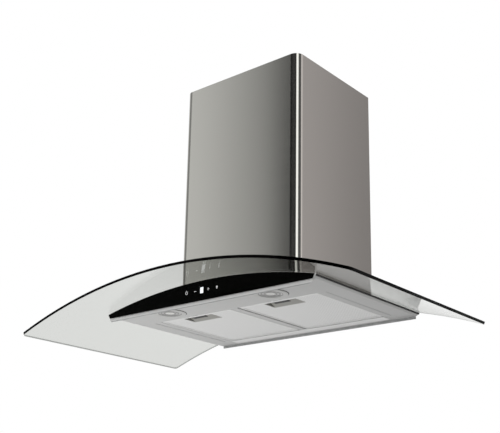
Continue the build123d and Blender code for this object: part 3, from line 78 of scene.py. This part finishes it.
def make_camera():
    forward = Vector((-sin(camera_turn) * cos(camera_pitch), cos(camera_turn) * cos(camera_pitch),
                      sin(camera_pitch)))
    level = Vector((cos(camera_turn), sin(camera_turn), 0))
    up = level.cross(forward)
    right = cos(camera_roll) * level + sin(camera_roll) * up
    above = cos(camera_roll) * up - sin(camera_roll) * level
    data = bpy.data.cameras.new("camera")
    data.sensor_width = sensor_width
    data.lens = focal_px / picture_width * sensor_width
    data.shift_y = camera_shift
    data.clip_start = near_clip
    camera = place_object("camera", data)
    rows = Matrix((right, above, -forward)).transposed().to_4x4()
    camera.matrix_world = Matrix.Translation(camera_place) @ rows
    bpy.context.scene.camera = camera


# ---------------------------------------------------------------------------------------------
# Node helpers
# ---------------------------------------------------------------------------------------------

# Sockets of a Mix node by what it mixes: its first side, then its result.
mix_sockets = {"FLOAT": (2, 0), "RGBA": (6, 2)}


class Graph:
    """A node tree, and short ways to add to it. A value is a number, a colour or an output."""

    def __init__(self, tree):
        self.tree = tree

    def node(self, kind, **values):
        """New node. Each value goes to the setting of that name, or else to the socket."""
        made = self.tree.nodes.new(kind)
        for key, value in values.items():
            if hasattr(made, key):
                setattr(made, key, value)
            else:
                made.inputs[key.replace("_", " ")].default_value = value
        return made

    def link(self, output, target):
        self.tree.links.new(output, target)

    def feed(self, value, target):
        if isinstance(value, (int, float)):
            target.default_value = value
        elif isinstance(value, tuple):
            target.default_value = (*value, 1.0)
        else:
            self.link(value, target)

    def math(self, kind, *values):
        made = self.node("ShaderNodeMath", operation=kind)
        for place, value in enumerate(values):
            self.feed(value, made.inputs[place])
        return made.outputs[0]

    def to_range(self, value, low, high, start=0.25, end=0.75, **settings):
        """Number that runs from low to high as value runs from start to end."""
        made = self.node("ShaderNodeMapRange", From_Min=start, From_Max=end, To_Min=low, To_Max=high,
                         **settings)
        self.link(value, made.inputs["Value"])
        return made.outputs["Result"]

    def smooth(self, value, start, end):
        """0 below start, 1 above end, with a soft step between."""
        return self.to_range(value, 0.0, 1.0, start, end, interpolation_type="SMOOTHSTEP")

    def blend(self, share, low, high, kind="FLOAT"):
        made = self.node("ShaderNodeMix", data_type=kind)
        first, result = mix_sockets[kind]
        for place, value in ((0, share), (first, low), (first + 1, high)):
            self.feed(value, made.inputs[place])
        return made.outputs[result]

    def choose(self, share, first, second):
        """Mix of two shader nodes."""
        made = self.node("ShaderNodeMixShader")
        for place, output in enumerate((share, first.outputs[0], second.outputs[0])):
            self.link(output, made.inputs[place])
        return made


class Surface(Graph):
    """One material with a Principled shader, which goes into surfaces under its name."""

    def __init__(self, name, colour, roughness, metallic=0.0, **sockets):
        self.material = bpy.data.materials.new(name)
        self.material.use_nodes = True
        super().__init__(self.material.node_tree)
        self.inputs = self.tree.nodes["Principled BSDF"].inputs
        self.feed(colour, self.inputs["Base Color"])
        self.feed(roughness, self.inputs["Roughness"])
        self.feed(metallic, self.inputs["Metallic"])
        for socket, value in sockets.items():
            self.feed(value, self.inputs[socket.replace("_", " ")])
        self.height = None
        surfaces[name] = self

    def spread(self, scale):
        """Object coordinates, scaled per axis."""
        place = self.node("ShaderNodeTexCoord")
        mapping = self.node("ShaderNodeMapping", Scale=scale)
        self.link(place.outputs["Object"], mapping.inputs["Vector"])
        return mapping.outputs["Vector"]

    def axes(self, vector=None):
        """X, Y and Z of a vector, or of the place on the object in millimetres."""
        made = self.node("ShaderNodeSeparateXYZ")
        self.link(vector or self.spread((1000, 1000, 1000)), made.inputs[0])
        return made.outputs[0], made.outputs[1], made.outputs[2]

    def noise(self, scale, detail=3.0, roughness=0.5):
        made = self.node("ShaderNodeTexNoise", Scale=1.0, Detail=detail, Roughness=roughness)
        self.link(self.spread(scale), made.inputs["Vector"])
        return made.outputs["Fac"]

    def mix(self, value, low, high, start=0.25, end=0.75):
        """Colour that runs from low to high as value runs from start to end."""
        return self.blend(self.to_range(value, 0.0, 1.0, start, end), low, high, "RGBA")

    def tint(self, colour):
        self.link(colour, self.inputs["Base Color"])

    def rough(self, value, low, high):
        self.link(self.to_range(value, low, high), self.inputs["Roughness"])

    def bump(self, value, distance, strength=1.0):
        made = self.node("ShaderNodeBump", Strength=strength, Distance=distance)
        self.link(value, made.inputs["Height"])
        if self.height is not None:
            self.link(self.height, made.inputs["Normal"])
        self.height = made.outputs["Normal"]
        self.link(self.height, self.inputs["Normal"])


def shade(values, share):
    """The numbers of a colour or a pair, each times share."""
    return tuple(share * value for value in values)


# ---------------------------------------------------------------------------------------------
# Materials
# ---------------------------------------------------------------------------------------------

skin_grain = (900, 900, 900)
cloud_grain = (14, 14, 14)
# How far the roughness runs round its mean, as shares of it.
metal_gloss = (0.85, 1.2)
skin_gloss = (0.88, 1.12)


def metal(name, colour, roughness, grain, change=0.08, lift=0.00001, metallic=1.0, **sockets):
    """Metal with a grain: grain is how many marks to the metre along each axis."""
    made = Surface(name, colour, roughness, metallic, **sockets)
    marks = made.noise(grain, 4.0, 0.6)
    made.tint(made.mix(marks, shade(colour, 1 - change), shade(colour, 1 + change / 2)))
    made.rough(marks, *shade(metal_gloss, roughness))
    made.bump(marks, lift)
    return made


def moulded(name, colour, roughness, change=0.1, lift=0.00004, **sockets):
    """Plastic, paint or rubber with a fine skin."""
    made = Surface(name, colour, roughness, **sockets)
    skin = made.noise(skin_grain, 2.0)
    cloud = made.noise(cloud_grain, 2.0)
    made.tint(made.mix(cloud, shade(colour, 1 - change), shade(colour, 1 + change)))
    made.rough(skin, *shade(skin_gloss, roughness))
    made.bump(skin, lift)


def brushed_steel():
    """Steel brushed along its width, so that what it mirrors is drawn out up and down."""
    made = metal("stainless_steel", (0.60, 0.595, 0.555), 0.13, (6, 6, 1800), 0.03, 0.000001,
                 Anisotropic=0.9, Anisotropic_Rotation=0.25)
    way = made.node("ShaderNodeTangent", direction_type="RADIAL", axis="Z")
    made.link(way.outputs["Tangent"], made.inputs["Tangent"])


lamp_x = 143.0
lamp_depth = 342.0
lens_radius = 29.3
lens_ring_pitch = 2.2
lens_ring_lift = 0.00015
lens_blue = 0.97
# Painted light and shade on the lens by the share of its radius: a painted highlight in the middle for the
# reflector, light and dark rings, and a painted shaded rim.
lens_painted_light = [
    (0.0, 0.95), (0.3, 0.9), (0.4, 0.2), (0.55, 0.5), (0.66, 0.22), (0.8, 0.55), (0.9, 0.04), (1.0, 0.03),
]


def lamp_glass():
    """Pressed lens over a lamp: rings, with painted light and shade by radius, a painted highlight in the
    middle for the reflector and painted shade at the rim.
    """
    made = Surface("lamp_glass", (0.8, 0.8, 0.78), 0.12, Specular_IOR_Level=0.3)
    x, y, _ = made.axes()
    across = made.math("SUBTRACT", made.math("ABSOLUTE", x), lamp_x)
    along = made.math("ADD", y, lamp_depth)
    square = made.math("ADD", made.math("POWER", across, 2.0), made.math("POWER", along, 2.0))
    reach = made.math("SQRT", square)
    ramp = made.node("ShaderNodeValToRGB")
    made.link(made.math("DIVIDE", reach, lens_radius), ramp.inputs["Fac"])
    stops = ramp.color_ramp.elements
    for place, _ in lens_painted_light[1:-1]:
        stops.new(place)
    for stop, (place, level) in zip(stops, lens_painted_light):
        stop.position = place
        stop.color = (level, level, lens_blue * level, 1.0)
    made.tint(ramp.outputs["Color"])
    rings = made.math("SINE", made.math("MULTIPLY", reach, 2 * pi / lens_ring_pitch))
    made.bump(rings, lens_ring_lift)


mesh_pitch = (4.0, 7.0)
# Colour of the openings between strands, darker as painted shade, and of the strands.
mesh_gap_shade = (0.66, 0.66, 0.65)
mesh_strand = (0.84, 0.84, 0.83)
strand_edge = (0.45, 0.75)
strand_lift = 0.0004
mesh_waves = (25, 120, 25)
wave_lift = 0.0003


def expanded_mesh():
    """Layered aluminium mesh: strands that cross along two slanted ways, with painted shade in the openings
    between them.
    """
    made = Surface("filter_mesh_aluminium", (0.8, 0.8, 0.8), 0.45, 0.3)
    x, y, _ = made.axes()
    strands = []
    for way in (-1, 1):
        along = made.math("DIVIDE", y, way * mesh_pitch[1])
        cell = made.math("FRACT", made.math("ADD", made.math("DIVIDE", x, mesh_pitch[0]), along))
        wave = made.math("SUBTRACT", made.math("MULTIPLY", cell, 2.0), 1.0)
        strands.append(made.math("ABSOLUTE", wave))
    weave = made.math("MAXIMUM", *strands)
    made.tint(made.mix(weave, mesh_gap_shade, mesh_strand, *strand_edge))
    made.bump(weave, strand_lift, 0.6)
    made.bump(made.noise(mesh_waves), wave_lift, 0.5)


glass_tint = (0.69, 0.70, 0.68)
# Painted shade for the cut edges at the front and right, painted light for those at the left and back, and
# where the painted shade begins.
edge_painted_shade = (0.0005, 0.0007, 0.0006)
edge_painted_light = (0.34, 0.35, 0.34)
painted_shade_from_x = 447
painted_shade_from_y = -505
edge_blend = 3
# How upright the normal is: below the first figure a cut edge, above the second a face.
edge_to_face = (0.6, 0.8)
edge_clearness = 0.55


def clear_glass():
    """Clear sheet. Its cut edges carry painted shade at the front and right and painted light at the left
    and back, and let less light through than its faces.
    """
    made = Surface("clear_glass", (1.0, 1.0, 1.0), 0.0, IOR=1.12, Transmission_Weight=1.0)
    face = made.node("ShaderNodeNewGeometry")
    _, _, height = made.axes(face.outputs["Normal"])
    across, depth, _ = made.axes()
    lie = made.math("ABSOLUTE", height)
    # How far past the right end or the front the edge lies: there the edge colour turns from painted light
    # to painted shade.
    painted_shade_side = made.math("MAXIMUM", made.math("SUBTRACT", across, painted_shade_from_x),
                      made.math("SUBTRACT", painted_shade_from_y, depth))
    painted_edge_colour = made.mix(painted_shade_side, edge_painted_light, edge_painted_shade, -edge_blend, 0)
    made.tint(made.mix(lie, painted_edge_colour, glass_tint, *edge_to_face))
    clearness = made.to_range(lie, edge_clearness, 1.0, *edge_to_face)
    made.link(clearness, made.inputs["Transmission Weight"])


def black_glass():
    made = Surface("black_glass", (0.0005, 0.0006, 0.0004), 0.04, Specular_IOR_Level=0.02)
    made.rough(made.noise((30, 30, 30)), 0.03, 0.06)


def make_surfaces():
    brushed_steel()
    lamp_glass()
    expanded_mesh()
    clear_glass()
    black_glass()
    metal("galvanised_steel", (0.50, 0.505, 0.505), 0.42, (90, 90, 90), 0.2)
    metal("filter_frame_aluminium", (0.80, 0.80, 0.79), 0.4, (60, 60, 900), 0.04, metallic=0.3)
    metal("pocket_metal", (0.34, 0.335, 0.31), 0.45, (60, 700, 60), metallic=0.25)
    metal("spring_steel", (0.50, 0.50, 0.50), 0.3, (200, 200, 200))
    metal("zinc_screw", (0.62, 0.62, 0.60), 0.3, (500, 500, 500))
    metal("motor_core", (0.30, 0.29, 0.28), 0.55, (90, 2500, 90), 0.3, 0.00005)
    metal("bearing_bronze", (0.60, 0.45, 0.25), 0.4, (900, 900, 900), 0.2)
    moulded("body_steel", (0.56, 0.56, 0.55), 0.4, 0.02, 0.00001)
    moulded("lamp_rim", (0.50, 0.50, 0.485), 0.3, 0.03, 0.00001)
    moulded("gasket_rubber", (0.012, 0.012, 0.012), 0.6, Specular_IOR_Level=0.15)
    moulded("touch_mark", (0.75, 0.76, 0.76), 0.4, 0.02)
    moulded("display_window", (0.6, 0.62, 0.64), 0.1, 0.02, Emission_Color=(0.93, 0.97, 1.0),
            Emission_Strength=0.55)
    moulded("circuit_board", (0.03, 0.18, 0.09), 0.35)
    moulded("grey_plastic", (0.32, 0.33, 0.33), 0.5)
    moulded("black_plastic", (0.02, 0.02, 0.02), 0.5, Specular_IOR_Level=0.2)
    moulded("scroll_plastic", (0.10, 0.10, 0.11), 0.5)
    moulded("wheel_plastic", (0.20, 0.21, 0.22), 0.45)
    moulded("motor_shell", (0.16, 0.17, 0.18), 0.35)
    moulded("collar_plastic", (0.12, 0.12, 0.13), 0.45)
    moulded("capacitor_case", (0.80, 0.80, 0.78), 0.3, 0.04)
    moulded("lead_sheath", (0.55, 0.56, 0.56), 0.4)


def dress_nodes():
    slot_of = {part["node"]: part["material_slot"] for part in record["subparts"]}
    for name, piece in nodes.items():
        material = surfaces[slot_of[name]].material
        for place in piece.material_slots:
            place.material = material
        if not piece.material_slots:
            piece.data.materials.append(material)


# ---------------------------------------------------------------------------------------------
# Trim of the body and small parts of the filters
# ---------------------------------------------------------------------------------------------

def swept(name, profile, stations, slot, closed=False, body="hood"):
    """A strip with that cross-section from station to station. A station places a profile point."""
    size, count = len(profile), len(stations)
    points = [[c / 1000 for c in station(*spot)] for station in stations for spot in profile]
    faces = []
    for row in range(count if closed else count - 1):
        here, there = row * size, (row + 1) % count * size
        for i in range(size):
            after = (i + 1) % size
            faces.append((here + i, here + after, there + after, there + i))
    if not closed:
        faces += [tuple(range(size)), tuple(reversed(range((count - 1) * size, count * size)))]
    data = bpy.data.meshes.new(name)
    data.from_pydata(points, [], faces)
    data.validate()
    data.materials.append(surfaces[slot].material)
    made = place_object(name, data)
    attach(made, body)
    return made


def along_depth(name, profile, depths, slot, middle=0.0, mirror=1):
    """Straight strip from the back to the front. Its profile is in X and Z."""
    swept(name, profile, [lambda x, z, y=y: (middle + mirror * x, -y, z) for y in depths], slot)


def along_width(name, profile, ends, slot, body="hood"):
    """Straight strip from left to right. Its profile is in depth and Z."""
    swept(name, profile, [lambda y, z, x=x: (x, -y, z) for x in ends], slot, body=body)


seal_profile = [(289.2, 2.7), (289.9, 2.5), (291.5, 3.5), (291.9, 4.6), (291.7, 6.0), (290.4, 6.0),
                (290.8, 3.9)]
seal_depths = (2.0, 389.0)
# Grey strip along the bottom edge of the front trim, darker than the pan: painted shadow for the shadow
# line between trim and pan.
shadow_lip_profile = [(391.25, -11.0), (391.35, -10.2), (391.05, -9.7), (390.0, -9.9), (388.8, -9.0),
               (388.2, -9.6), (390.2, -11.1)]
shadow_lip_ends = (-280.8, 280.8)
groove_profile = [(-0.95, 0.62), (-0.95, 0.35), (0.0, 0.2), (0.95, 0.35), (0.95, 0.62)]
groove_depths = (40.0, 287.5)
groove_x = 242.0
# The photograph shows a dark line beside the left filter only.
# Painted shade: the left groove line is black, for the shade in its crease; the right one is grey.
groove_shade_slots = {"left": "gasket_rubber", "right": "grey_plastic"}
rail_profile = [(37.4, 0.05), (37.2, -0.7), (36.6, -0.95), (12.5, -0.95), (10.8, -0.7), (10.2, 0.05)]
rail_ends = (-223.0, 223.0)
latch_x = 117.0
plate_profile = [(280.3, 0.75), (278.6, 0.5), (277.0, 0.75), (275.2, 0.5), (273.4, 0.75), (271.6, 0.5),
                 (269.8, 0.75), (268.0, 0.5), (266.3, 0.8), (265.6, 1.5), (266.0, 2.2), (280.3, 2.4)]
plate_half_width = 19.0
# Black ring round each lamp's bezel: painted shadow of the gap round the bezel.
lamp_shadow_ring_profile = [(-0.5, 0.05), (-0.35, -0.5), (0.3, -0.55), (0.9, -0.2), (1.0, 0.05)]
lamp_shadow_ring_radius = 36.7
lamp_shadow_ring_steps = 72

coil_front = 275.2
coil_back = 257.2
coil_height = 10.0
coil_radius = 1.5
coil_turns = 10
turn_steps = 18
wire_radius = 0.28
wire_sides = 8


def shadow_ring_station(middle, turn):
    """Places one point of the section of a lamp's black ring, the painted shadow round its bezel, at that
    turn round the lamp.
    """
    def station(out, z):
        reach = lamp_shadow_ring_radius + out
        return middle + reach * cos(turn), -lamp_depth + reach * sin(turn), z

    return station


def coil_station(middle, step):
    """Places one point of the wire's round section at that step of the coil."""
    turn = 2 * pi * step / turn_steps
    share = step / (coil_turns * turn_steps)
    depth = coil_front - wire_radius - share * (coil_front - coil_back - 2 * wire_radius)

    def station(out, along):
        reach = coil_radius + wire_radius * out
        return middle + reach * cos(turn), -depth + wire_radius * along, coil_height + reach * sin(turn)

    return station


def latch_coil(side_name, middle):
    """Return spring of a latch, as a coil fixed on the filter. The real one closes up as the latch slides
    back.
    """
    wire_profile = [(cos(2 * pi * i / wire_sides), sin(2 * pi * i / wire_sides)) for i in range(wire_sides)]
    coil = swept(f"latch_coil_{side_name}", wire_profile,
                 [coil_station(middle, step) for step in range(coil_turns * turn_steps + 1)],
                 "spring_steel", body=f"filter_{side_name}")
    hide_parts(f"latch_spring_{side_name}")
    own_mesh(coil)


def make_trim():
    for side_name, side in sides:
        along_depth(f"side_seal_{side_name}", seal_profile, seal_depths, "gasket_rubber", mirror=side)
    # Painted shadow: a grey strip along the trim's bottom edge.
    along_width("trim_shadow_lip", shadow_lip_profile, shadow_lip_ends, "grey_plastic")
    # Groove lines pressed into the pan, coloured darker than the pan as painted shade.
    for side_name, side in sides:
        along_depth(f"groove_line_{side_name}", groove_profile, groove_depths,
                    groove_shade_slots[side_name], middle=side * groove_x)
    for side_name, side in sides:
        ends = (side * latch_x - plate_half_width, side * latch_x + plate_half_width)
        along_width(f"finger_plate_{side_name}", plate_profile, ends, "black_plastic",
                    body=f"latch_{side_name}")
    for side_name, side in sides:
        latch_coil(side_name, side * latch_x)
    # The rail covers the slots of the filters' tabs.
    along_width("rear_rail", rail_profile, rail_ends, "filter_frame_aluminium")
    turns = [2 * pi * i / lamp_shadow_ring_steps for i in range(lamp_shadow_ring_steps)]
    # Painted shadow: a black ring round each lamp's bezel, for the shade in the gap round it.
    for side_name, side in sides:
        swept(f"lamp_shadow_ring_{side_name}", lamp_shadow_ring_profile,
              [shadow_ring_station(side * lamp_x, turn) for turn in turns], "gasket_rubber", closed=True)


# ---------------------------------------------------------------------------------------------
# Floor, backdrop and light
# ---------------------------------------------------------------------------------------------

floor_height = -3.0
floor_size = 40.0
floor_lift = 0.5
floor_paleness = 0.8
floor_bounce = 0.3
world_light = 0.6

# What polished steel sees of the studio above its horizon: brightness by the turn from the front,
# in degrees, positive to the right.
studio_ring = [
    (-180, 1.0), (-140, 1.0), (-110, 0.8), (-70, 0.22), (-52, 0.4), (-47, 0.85), (-43.4, 0.75),
    (-40.6, 0.48), (-38.7, 0.40), (-38.35, 0.35), (-38.0, 0.02), (-15, 0.02), (0, 0.04), (20, 0.04),
    (40, 0.02), (48, 1.6), (66, 1.6), (74, 0.1), (104, 0.12), (114, 0.9), (125, 0.85), (134, 0.5),
    (143.3, 0.53), (147.2, 0.3), (158, 0.3), (172, 1.0), (180, 1.0),
]
# The studio's light right of this turn is a little warmer.
warm_turn = (100.0, 112.0)
side_warmth = (1.02, 0.955, 0.965)
horizon_light = 0.8
ceiling_light = 0.8
# Z of the direction where the horizon gives way to the ring, and the ring to the ceiling.
horizon_edge = (0.02, 0.16)
ceiling_edge = (0.55, 0.9)

# Name, place, target, size and power.
lamps = [
    ("key", (-2.2, -2.4, 1.8), (0, -0.2, 0.2), (1.6, 2.2), 60),
    ("fill", (2.4, -1.0, 0.8), (0, -0.2, 0.2), (1.4, 1.8), 25),
    ("low", (-0.34, -0.46, -0.72), (-0.1, -0.25, 0.0), (0.4, 0.4), 2.8),
]


def make_floor():
    half = floor_size / 2
    corners = [(-half, -half, floor_height), (half, -half, floor_height), (half, half, floor_height),
               (-half, half, floor_height)]
    data = bpy.data.meshes.new("floor")
    data.from_pydata(corners, [], [(0, 1, 2, 3)])
    floor = place_object("floor", data)
    material = bpy.data.materials.new("floor")
    material.use_nodes = True
    material.node_tree.nodes.clear()
    graph = Graph(material.node_tree)
    seen = graph.node("ShaderNodeLightPath").outputs
    matt = graph.node("ShaderNodeBsdfDiffuse")
    paleness = graph.math("MULTIPLY_ADD", seen["Is Diffuse Ray"], floor_bounce - floor_paleness,
                          floor_paleness)
    graph.link(paleness, matt.inputs["Color"])
    lift = graph.node("ShaderNodeEmission")
    graph.link(graph.math("MULTIPLY", seen["Is Camera Ray"], floor_lift), lift.inputs["Strength"])
    both = graph.node("ShaderNodeAddShader")
    graph.link(matt.outputs[0], both.inputs[0])
    graph.link(lift.outputs[0], both.inputs[1])
    mirrored = graph.math("MAXIMUM", seen["Is Glossy Ray"], seen["Is Transmission Ray"])
    picked = graph.choose(mirrored, both, graph.node("ShaderNodeEmission", Strength=1.0))
    graph.link(picked.outputs[0], graph.node("ShaderNodeOutputMaterial").inputs["Surface"])
    data.materials.append(material)


def make_world():
    world = bpy.data.worlds.new("studio")
    bpy.context.scene.world = world
    world.use_nodes = True
    world.node_tree.nodes.clear()
    graph = Graph(world.node_tree)

    place = graph.node("ShaderNodeTexCoord")
    axes = graph.node("ShaderNodeSeparateXYZ")
    graph.link(place.outputs["Generated"], axes.inputs[0])
    x, y, upright = axes.outputs
    turn = graph.math("ARCTAN2", x, graph.math("MULTIPLY", y, -1.0))
    degrees = graph.math("MULTIPLY", turn, 180 / pi)
    ring = studio_ring[0][1]
    for (start, low), (end, high) in zip(studio_ring, studio_ring[1:]):
        ring = graph.math("ADD", ring, graph.to_range(degrees, 0.0, high - low, start, end))
    lower = graph.blend(graph.smooth(upright, *horizon_edge), horizon_light, ring)
    strength = graph.blend(graph.smooth(upright, *ceiling_edge), lower, ceiling_light)
    warmth = graph.blend(graph.smooth(degrees, *warm_turn), (1, 1, 1), side_warmth, "RGBA")

    white = (1, 1, 1, 1)
    plain = graph.node("ShaderNodeBackground", Color=white, Strength=world_light)
    bright = graph.node("ShaderNodeBackground", Color=white, Strength=1.0)
    studio = graph.node("ShaderNodeBackground")
    graph.link(warmth, studio.inputs["Color"])
    graph.link(strength, studio.inputs["Strength"])
    seen = graph.node("ShaderNodeLightPath").outputs
    mirrored = graph.choose(seen["Is Glossy Ray"], plain, studio)
    straight = graph.math("MAXIMUM", seen["Is Camera Ray"], seen["Is Transmission Ray"])
    picked = graph.choose(straight, mirrored, bright)
    graph.link(picked.outputs[0], graph.node("ShaderNodeOutputWorld").inputs["Surface"])


def make_lamp(name, place, target, size, power):
    data = bpy.data.lights.new(name, "AREA")
    data.shape = "RECTANGLE"
    data.size, data.size_y = size
    data.energy = power
    lamp = place_object(name, data)
    lamp.location = place
    lamp.rotation_euler = (Vector(target) - Vector(place)).to_track_quat("-Z", "Y").to_euler()
    lamp.visible_camera = False
    lamp.visible_glossy = False
    lamp.visible_transmission = False


make_camera()
bpy.context.scene.view_settings.view_transform = "Standard"
make_surfaces()
dress_nodes()
# The glass lets light through to what is under it.
nodes["canopy_glass"].visible_shadow = False
nodes["canopy_glass"].visible_diffuse = False
make_trim()
make_floor()
make_world()
for lamp in lamps:
    make_lamp(*lamp)
